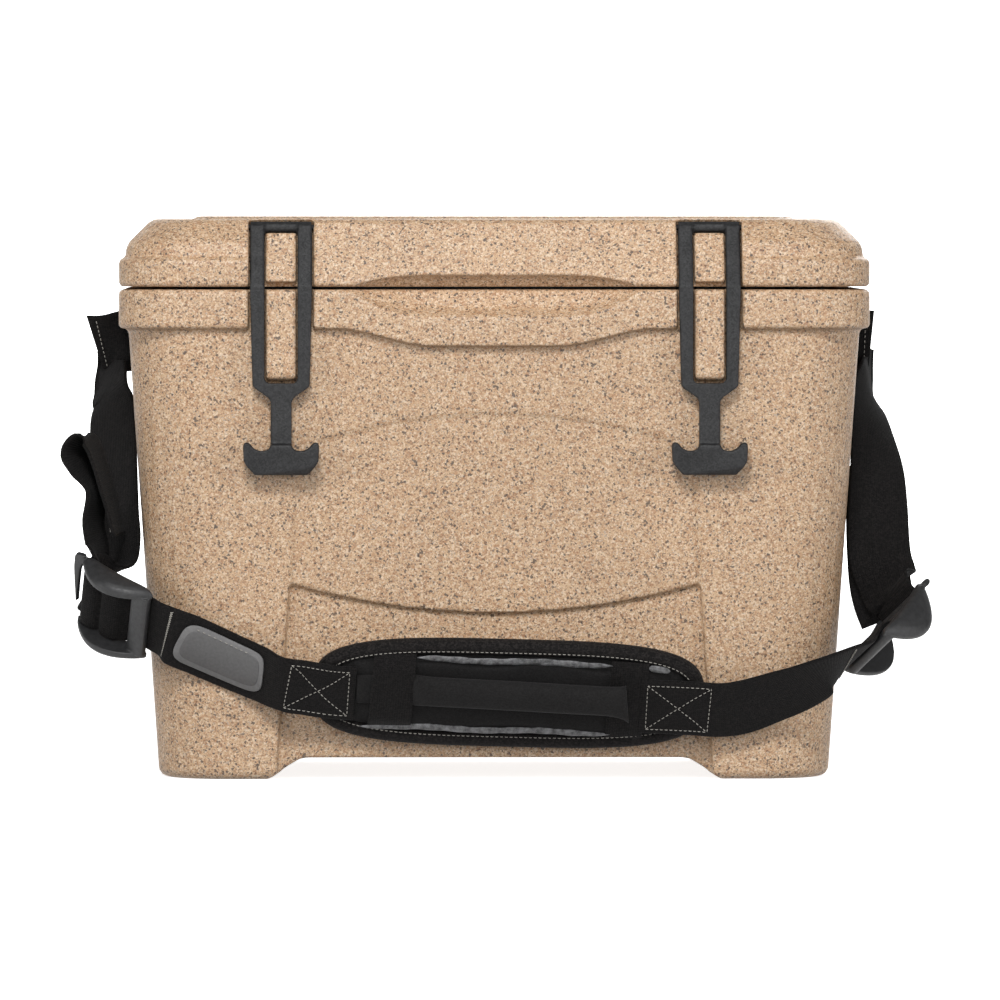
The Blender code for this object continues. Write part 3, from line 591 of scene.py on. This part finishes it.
IN_BUCKLE = [
    (6.4, 0.4), (3.4, 3.5), (-1, 4.8), (-6, 4.3), (-9.6, 1.4), (-13.5, 4.3), (-18, 4.6), (-21.8, 3.9),
    (-24, 0.5), (-25.4, -4.8), (-28, -9.6),
]


def in_buckle(place, path, end):
    return [(*place.at(end * u, 0, w), *place.v) for u, w in path]


def strap_end(points):
    """Where a strap lies on the pad's face."""
    return [(*PAD.at(u, v, ON_PAD), *PAD.v) for u, v in points]


def make_strap(side, route, exit_row, replaced):
    strap = Strap(route)
    obj = strap.build(f"strap_{side}", pinch=exit_row)
    finish_piece(obj, "tub", "webbing", "webbing", *replaced)
    path = strap.path()
    if exit_row < 0:
        path = path[::-1]
    return strap


left_end = strap_end([(-137, 6.5), (-122, 4.0), (-108, 1.8), (-93, 1.0)])
right_end = strap_end([(79.5, -3.0), (96, -3.2), (113, -3.6), (128, -4.2)])
left_route = LEFT_SIDE + in_buckle(BUCKLE_LEFT, (FRONT_TO_BAR + IN_BUCKLE)[::-1], 1) + LEFT_FRONT + left_end
right_route = right_end + RIGHT_FRONT + in_buckle(BUCKLE_RIGHT, FRONT_TO_BAR + IN_BUCKLE, -1) + RIGHT_SIDE


# ---------------------------------------------------------------- buckles

GUARD_START = -28.5          # where a side guard starts along the buckle, and its length, mm
GUARD_LENGTH = 54.2
GUARD_MIDDLE = 4.0           # height that a guard's dome closes in on
# Side guard's dome: distance from the buckle's middle, and share of the full outline.
GUARD_DOME = [
    (20.3, 0.985), (20.9, 1.0), (23.4, 1.0), (24.6, 0.95), (25.8, 0.84), (26.8, 0.66),
    (27.4, 0.42), (27.7, 0.15),
]
# Cross bars: from, to along the buckle, and their lowest and highest point.
BARS = [(12.6, 25.2, -2.8, 4.9), (-4.0, 2.2, -2.3, 2.4), (-21.0, -15.2, -2.3, 2.4)]
# Lip over the adjusting end: place across the buckle, and from, to along it.
LIP = [
    (26.8, -29.5, -25.5), (26.0, -32.5, -25.5), (23, -33.8, -26.0), (16, -33.6, -28.2), (8, -32.4, -28.5),
    (-1, -30.6, -28.6), (-8, -29.4, -28.6),
]


def guard_ring(end, v, scale, rise):
    """Outline of a crescent side guard at v, drawn in towards its middle by scale."""
    ring = []
    for i in range(25):
        t = i / 24
        ring.append((GUARD_START + GUARD_LENGTH * t, -1.5 + rise * math.sin(math.pi * t) ** 0.8))
    for t in (0.94, 0.8, 0.6, 0.4, 0.2, 0.06):
        ring.append((GUARD_START + GUARD_LENGTH * t, -3.6 + 1.6 * math.sin(math.pi * t)))
    return [(end * u * scale, v, GUARD_MIDDLE + (w - GUARD_MIDDLE) * scale) for u, w in ring]


def bar_ring(v, u0, u1, w0, w1, end):
    """Rounded section of a cross bar at v."""
    ring = []
    for i in range(20):
        a = 2 * math.pi * i / 20
        c, s = math.cos(a), math.sin(a)
        c, s = math.copysign(abs(c) ** 0.7, c), math.copysign(abs(s) ** 0.7, s)
        ring.append((end * ((u0 + u1) / 2 + (u1 - u0) / 2 * c), v, (w0 + w1) / 2 + (w1 - w0) / 2 * s))
    return ring


def make_buckle(side, place, end, rise):
    """Ladder lock with domed guards, three bars and a lip over the adjusting end."""
    verts, faces = [], []

    def add(rings):
        start = len(verts)
        for ring in rings:
            verts.extend(place.at(*p) for p in ring)
        faces.extend([start + i for i in face] for face in loft_faces(len(rings), len(rings[0])))

    for hand in (-1, 1):
        add([guard_ring(end, hand * v, scale, rise) for v, scale in GUARD_DOME])
    for u0, u1, w0, w1 in BARS:
        add([bar_ring(v, u0, u1, w0, w1, end) for v in (-21.5, -7, 7, 21.5)])
    add([bar_ring(v, u0, u1, -1.5, 2.2, end) for v, u0, u1 in LIP])
    for v in (-21.0, 21.0):
        add([bar_ring(v + dv, -24, 22, -2.2, 2.2, end) for dv in (-1.0, 1.0)])
    obj = mesh_object(f"ladder_lock_{side}", verts, faces)
    remesh = obj.modifiers.new("remesh", "REMESH")
    remesh.mode = "VOXEL"
    remesh.voxel_size = 0.5 * MM
    soften = obj.modifiers.new("soften", "SMOOTH")
    soften.iterations = 3
    thin = obj.modifiers.new("thin", "DECIMATE")
    thin.ratio = 0.4
    bake_modifiers(obj)
    return finish_piece(obj, "tub", "buckle_plastic", "buckle_plastic", f"buckle_{side}")


buckle_left = make_buckle("left", BUCKLE_LEFT, 1, 17.0)
buckle_right = make_buckle("right", BUCKLE_RIGHT, -1, 20.5)
strap_left = make_strap("left", left_route, 1, ["strap_side_left", "strap_front_left"])
strap_right = make_strap("right", right_route, -1, ["strap_side_right", "strap_front_right"])


def strap_stitches(name, strap, lines, **more):
    thread = stitch_mesh(name, lambda a, s, h: strap.at(a, s, WEB_T / 2 + h), lines, **more)
    finish_piece(thread, "tub", "webbing", "thread")


def make_tails():
    for side, route in (("left", LEFT_TAIL), ("right", RIGHT_TAIL)):
        tail = Strap(route, 1.6)
        obj = tail.build(f"strap_tail_{side}_webbing")
        finish_piece(obj, "tub", "webbing", "webbing", f"strap_tail_{side}")
        if side == "left":
            zigzag = [(tail.length - 3.0 - 2.4 * (k % 2), 17.0 - 0.9 * k) for k in range(9)]
            strap_stitches("tail_tack", tail, [zigzag], pitch=1.6, stitch=1.5)


def make_anchor(side, sign, reach, lean, shear):
    """Folded webbing round the upright pin in the end pocket."""
    low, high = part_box(f"strap_pin_{side}")
    pin_x = abs(low[0] + high[0]) / 2 / MM
    turn = (high[1] - low[1]) / 2 / MM + 0.5 + WEB_T / 2
    tip = (lean, math.sqrt(1 - lean * lean))
    plan = [(reach, 1.6, *tip), (reach - 9, 1.6, *tip), (224, 1.9, 0, 1), (219, 3.6, 0, 1)]
    for a in (50, 90, 130, 180, 230, 270, 310):
        plan.append((pin_x + turn * math.cos(math.radians(a)), turn * math.sin(math.radians(a)), 0, 1))
    plan += [(219, -3.6, 0, 1), (224, -1.9, 0, 1), (reach - 9, -1.6, *tip), (reach, -1.6, *tip)]
    loop = Strap([(sign * x, y, ANCHOR_Z, 0, b, c) for x, y, b, c in plan], 1.5)
    stitched = [[(4.0, -17.0), (4.0, 17.0)], [(loop.length - 4.0, -17.0), (loop.length - 4.0, 17.0)]]
    pieces = [loop.build(f"anchor_loop_{side}")]
    for word, face in (("front", 1), ("back", -1)):
        name = f"anchor_stitch_{word}_{side}"
        pieces.append(stitch_mesh(name, lambda a, s, h: loop.at(a, s, face * (WEB_T / 2 + h)), stitched))
    for obj, material in zip(pieces, ("webbing", "thread", "thread")):
        for vert in obj.data.vertices:
            out = min(max((abs(vert.co.x) / MM - 228) / (reach - 228), 0.0), 1.0)
            vert.co.x -= sign * shear * out * (ANCHOR_Z * MM - vert.co.z)
            vert.co.z -= shear * out * 4.0 * MM
        replaced = [f"strap_anchor_{side}"] if material == "webbing" else []
        finish_piece(obj, "tub", "webbing", material, *replaced)


make_tails()
make_anchor("left", -1, 245.0, -0.5, 0.3)
make_anchor("right", 1, 234.3, 0.0, 0.1)


# ---------------------------------------------------------------- moulded parts

def make_shells():
    tub = soft_copy("tub_moulding", "tub_shell", voxel=1.5, rounds=2, keep=0.35, core="tub_foam_core")
    finish_piece(tub, "tub", "sand_plastic", "sand_plastic", "tub_shell")
    lid = soft_copy("lid_moulding", "lid_shell", voxel=1.1, rounds=2, keep=0.3, core="lid_foam_core")
    finish_piece(lid, "lid", "sand_plastic", "sand_plastic", "lid_shell")


def make_latches():
    for side in ("left", "right"):
        latch = soft_copy(f"rubber_latch_{side}", f"latch_{side}", voxel=0.8, rounds=3, keep=0.5)
        finish_piece(latch, f"latch_{side}_body", "latch_rubber", "latch_rubber", f"latch_{side}")


def dress_cad_nodes():
    """Carried-over CAD nodes get their slot's material; the latch pins instead get a dark steel, painted
    shade of the slots they sit in.
    """
    for part in frame["record"]["subparts"]:
        obj = nodes[part["node"]]
        # painted shade: the latch pins are darkened to look like the shade inside the lid's slots, not given
        # their bright steel
        latch_pin_in_shade = part["node"].startswith("latch_pin")
        material = MATERIALS["steel_painted_shade" if latch_pin_in_shade else part["material_slot"]]
        for slot in obj.material_slots:
            slot.material = material


make_shells()
make_latches()
dress_cad_nodes()


# ---------------------------------------------------------------- shoulder pad

PAD_RING = 96                # points of a ring of the pad
BORDER_RING = 160            # points of the binding's line
BORDER_SIDES = 14            # points round the binding's section


def pad_outline(grow, count=PAD_RING, power=3.4):
    """Points of the pad's rounded outline in its own plane, moved out by grow."""
    half_u, half_v = PAD_HALF[0] + grow, PAD_HALF[1] + grow
    points = []
    for i in range(count):
        a = 2 * math.pi * i / count
        c, s = math.cos(a), math.sin(a)
        u = half_u * math.copysign(abs(c) ** (2 / power), c)
        v = half_v * math.copysign(abs(s) ** (2 / power), s)
        points.append((u, v))
    line = spline([(u, v, 0) for u, v in points + points[:1]], count + 1)[:-1]
    return [(p[0], p[1]) for p in line]


def swell(obj, pressure, cap):
    """Inflate a closed pad with a short cloth simulation, moving no point past cap."""
    start = np.array([v.co for v in obj.data.vertices])
    cloth = obj.modifiers.new("cloth", "CLOTH")
    cloth.settings.use_pressure = True
    cloth.settings.uniform_pressure_force = pressure
    cloth.settings.effector_weights.gravity = 0.0
    cloth.settings.quality = 6
    cloth.point_cache.frame_start = 1
    cloth.point_cache.frame_end = CLOTH_STEPS
    for step in range(1, CLOTH_STEPS + 1):
        scene.frame_set(step)
    bake_modifiers(obj)
    end = np.array([v.co for v in obj.data.vertices])
    move = end - start
    size = np.linalg.norm(move, axis=1, keepdims=True)
    end = start + move * np.minimum(1.0, cap / np.maximum(size, 1e-9))
    obj.data.vertices.foreach_set("co", end.astype(np.float32).ravel())
    scene.frame_set(1)


def make_pad():
    rings = []
    for w, grow in ((-3.6, -11.0), (-2.6, -8.0), (0.0, -6.5), (2.4, -8.0), (3.2, -11.0)):
        rings.append([PAD.at(u, v, w) for u, v in pad_outline(grow)])
    verts = [p for ring in rings for p in ring]
    pad = mesh_object("pad_cushion", verts, loft_faces(len(rings), PAD_RING))
    remesh = pad.modifiers.new("remesh", "REMESH")
    remesh.mode = "VOXEL"
    remesh.voxel_size = 0.0032
    bake_modifiers(pad)
    swell(pad, 4.0, 0.0022)
    pad.modifiers.new("fine", "SUBSURF").levels = 1
    bake_modifiers(pad)
    finish_piece(pad, "tub", "pad_fabric", "pad_fabric", "shoulder_pad")


def make_border():
    """The rolled binding round the pad, with its stitch line."""
    outline = pad_outline(-4.6, BORDER_RING)
    verts, uvs = [], []
    run = 0.0
    for k, (u, v) in enumerate(outline):
        before, after = outline[k - 1], outline[(k + 1) % BORDER_RING]
        ahead = Vector((after[0] - before[0], after[1] - before[1])).normalized()
        out = Vector((ahead.y, -ahead.x))
        run += math.dist((u, v), before)
        for i in range(BORDER_SIDES):
            a = 2 * math.pi * i / BORDER_SIDES
            c, s = math.cos(a), math.sin(a)
            reach = 4.7 * math.copysign(abs(c) ** 0.8, c)
            lift = 4.6 * math.copysign(abs(s) ** 0.8, s) * (1.0 - 0.18 * (c < 0) * abs(c))
            verts.append(PAD.at(u + out.x * reach, v + out.y * reach, lift))
            uvs.append((reach * MM + s * 0.004, run * MM))
    faces = []
    for k in range(BORDER_RING):
        this, following = k * BORDER_SIDES, (k + 1) % BORDER_RING * BORDER_SIDES
        for i in range(BORDER_SIDES):
            j = (i + 1) % BORDER_SIDES
            faces.append([this + i, this + j, following + j, following + i])
    border = mesh_object("pad_border", verts, faces, uvs)
    finish_piece(border, "tub", "binding", "binding", "pad_binding")
    inner = [(u, v + 1.6) for u, v in pad_outline(-7.4, BORDER_RING)]
    thread = stitch_mesh("pad_border_stitch", PAD.at, [inner + inner[:1]], lift=4.9)
    finish_piece(thread, "tub", "binding", "thread")


def make_grip():
    """The hand grip: a rolled sleeve that lies flat at its left end."""
    rings, sides = 48, 28
    # place along the pad, half width, half height, height and place across the pad
    stations = [
        (-92, 10.0, 1.0, 6.3, 3.3), (-82, 10.2, 1.1, 6.4, 3.5), (-62, 10.4, 1.3, 6.6, 4.0),
        (-56, 10.8, 3.0, 8.6, 4.8), (-46, 9.8, 5.2, 11.6, 6.0), (-25, 9.4, 6.2, 13.4, 6.4),
        (5, 9.4, 6.5, 14.0, 5.8), (35, 9.3, 6.6, 14.6, 5.0), (58, 9.4, 6.2, 15.0, 4.4),
        (67, 10.8, 5.4, 15.0, 3.6), (71.5, 12.8, 4.6, 14.8, 2.4),
    ]
    verts, uvs = [], []
    for u, hv, hw, w, v in spline(stations, rings):
        for i in range(sides):
            a = 2 * math.pi * i / sides
            c, s = math.cos(a), math.sin(a)
            dv = hv * math.copysign(abs(c) ** 0.85, c)
            dw = hw * math.copysign(abs(s) ** 0.85, s)
            verts.append(PAD.at(u - dv * 0.1 * (u > 60), v + dv + 1.0, w + dw))
            uvs.append((a * 0.009, u * MM))
    grip = mesh_object("hand_grip", verts, loft_faces(rings, sides), uvs)
    finish_piece(grip, "tub", "pad_fabric", "pad_fabric", "grip_roll")


def make_bands():
    """The webbing bands over the pad that hold the grip."""
    for side, u, v, half, lift in (("left", -70.5, 2.6, 13.0, 9.2), ("right", 71.5, -0.4, 11.5, 6.6)):
        route = []
        for s, w in ((-1, 3.4), (-0.88, 5.0), (-0.65, lift - 0.6), (-0.3, lift), (0, lift + 0.2), (0.3, lift),
                     (0.65, lift - 0.4), (0.88, 5.2), (1, 3.6)):
            route.append((*PAD.at(u + 1.5 * s, v + 27.0 * s, w), *(-PAD.u)))
        band = Strap(route, 1.5)
        obj = band.build(f"pad_band_{side}", width=2 * half, thick=1.6)
        finish_piece(obj, "tub", "webbing", "webbing", f"grip_band_{side}")


def make_piping():
    """Strips of silvery reflective tape that show inside the binding."""
    rings, sides = 33, 10
    for side, v, u0, u1 in (("top", 26.6, -56, 62), ("top_end", 23.0, 84, 97), ("bottom", -22.6, -90, 62)):
        verts = []
        for k in range(rings):
            t = k / (rings - 1)
            u = u0 + (u1 - u0) * t
            half = 1.9 * (1 - abs(2 * t - 1) ** 8) + 0.35 + 0.25 * math.sin(u * 0.37)
            middle = v + 0.6 * math.sin(u * 0.09) - 1.6 * t
            for i in range(sides):
                a = 2 * math.pi * i / sides
                verts.append(PAD.at(u, middle + half * math.cos(a), 5.3 + 0.5 * math.sin(a)))
        obj = mesh_object(f"pad_piping_{side}", verts, loft_faces(rings, sides))
        finish_piece(obj, "tub", "pad_fabric", "silver")


make_pad()
make_border()
make_grip()
make_bands()
make_piping()


# ---------------------------------------------------------------- stitching and patch

def box_and_cross(a0, a1, half):
    box = [(a0, -half), (a1, -half), (a1, half), (a0, half), (a0, -half)]
    return [box, [(a0, -half), (a1, half)], [(a0, half), (a1, -half)]]


def make_strap_stitching():
    end = strap_left.length
    strap_stitches("left_box_stitch", strap_left, box_and_cross(end - 41.0, end - 4.0, 15.5))
    strap_stitches("right_box_stitch", strap_right, box_and_cross(4.0, 42.0, 15.5))
    for side, strap, place, hand, past in (
        ("left", strap_left, BUCKLE_LEFT, 1, 13.0),
        ("right", strap_right, BUCKLE_RIGHT, -1, 18.0),
    ):
        a = strap.nearest(place.at(hand * 24, 0, -4)) + hand * past
        zigzag = [(a + 0.45 * (-1) ** k, -16.5 + 0.75 * k) for k in range(45)]
        strap_stitches(f"{side}_fold_stitch", strap, [zigzag], pitch=0.9, stitch=0.95, thread=0.3)


def make_patch():
    """Blank patch with a raised border, sewn to the front webbing."""
    a0 = strap_left.nearest(Vector((-191, -130, 86)))
    a1 = strap_left.nearest(Vector((-139, -130, 64)))
    lift = WEB_T / 2
    rings = 40
    for name, inset, low, high, material in (
        ("patch", 0.0, 0.1, 1.2, "label"),
        ("patch_panel", 3.2, 1.0, 1.5, "label_dark"),
    ):
        verts = []
        for k in range(rings):
            t = -math.cos(math.pi * (k + 0.5) / rings)
            half = (14.0 - inset) * (1 - abs(t) ** 7) ** (1 / 4)
            a = (a0 + a1) / 2 + t * ((a1 - a0) / 2 - inset)
            section = [
                (-half, low), (-half, high - 0.3), (-half + 0.4, high), (0, high),
                (half - 0.4, high), (half, high - 0.3), (half, low), (0, low),
            ]
            verts += [strap_left.at(a, s + 0.5, lift + h) for s, h in section]
        obj = mesh_object(name, verts, loft_faces(rings, len(section)))
        finish_piece(obj, "tub", "label", material, *(["strap_label"] if name == "patch" else []))
    lines = [[(a0 + 7 + i * 4.0, 11.2), (a0 + 9.0 + i * 4.0, 11.2)] for i in range(10)]

    def patch_face(a, s, h):
        return strap_left.at(a, s + 0.5, lift + 1.2 + h)

    thread = stitch_mesh("patch_stitch", patch_face, lines, pitch=3.0)
    finish_piece(thread, "tub", "label", "thread")


make_strap_stitching()
make_patch()


# ---------------------------------------------------------------- stage

FLOOR_BACK = 7000            # the floor ends here, in mm, and curves up to a wall
FLOOR_CURVE = 1400
WALL_TOP = 6000
STAGE_HALF = 9000
LIGHTS = (                   # name, place, aim, size and watts
    ("key", (-0.3, -2.5, 2.05), (0, 0, 0.2), 0.7, 60.0),
    ("front", (0.2, -4.4, 1.0), (0, 0, 0.2), 1.6, 38.0),
    ("left_box", (-2.3, -1.5, 0.7), (0, 0, 0.2), 1.0, 17.0),
    ("right_box", (2.3, -1.5, 0.7), (0, 0, 0.2), 1.0, 19.0),
    ("rear", (0.8, 3.4, 1.9), (0, 0, 0.2), 1.8, 60.0),
    ("wash", (0, 4.5, 3.2), (0, 8.4, 0.6), 3.0, 520.0),
)


def make_sweep():
    """Pale floor that curves up behind the chest."""
    profile = [(-STAGE_HALF, 0), (FLOOR_BACK, 0)]
    for k in range(1, 17):
        a = math.pi / 2 * k / 16
        profile.append((FLOOR_BACK + FLOOR_CURVE * math.sin(a), FLOOR_CURVE * (1 - math.cos(a))))
    profile.append((FLOOR_BACK + FLOOR_CURVE, WALL_TOP))
    verts = [(x, y, z) for x in (-STAGE_HALF, STAGE_HALF) for y, z in profile]
    count = len(profile)
    faces = [[i, i + 1, count + i + 1, count + i] for i in range(count - 1)]
    sweep = mesh_object("sweep", verts, faces)
    glow = {"Emission_Color": (1.0, 1.0, 1.0, 1.0), "Emission_Strength": 0.8}
    sweep.data.materials.append(Graph("sweep", (0.80, 0.80, 0.80, 1.0), 0.85, **glow).mat)
    sweep.visible_diffuse = False


def make_stage():
    make_sweep()
    world = bpy.data.worlds.new("studio")
    scene.world = world
    world.use_nodes = True
    backdrop = world.node_tree.nodes["Background"]
    backdrop.inputs["Color"].default_value = (1.0, 1.0, 1.0, 1.0)
    backdrop.inputs["Strength"].default_value = 0.2
    for name, at, aim, size, power in LIGHTS:
        data = bpy.data.lights.new(name, "AREA")
        data.size = size
        data.energy = power
        lamp = bpy.data.objects.new(name, data)
        scene.collection.objects.link(lamp)
        lamp.location = at
        lamp.rotation_euler = (Vector(aim) - lamp.location).to_track_quat("-Z", "Y").to_euler()


make_stage()
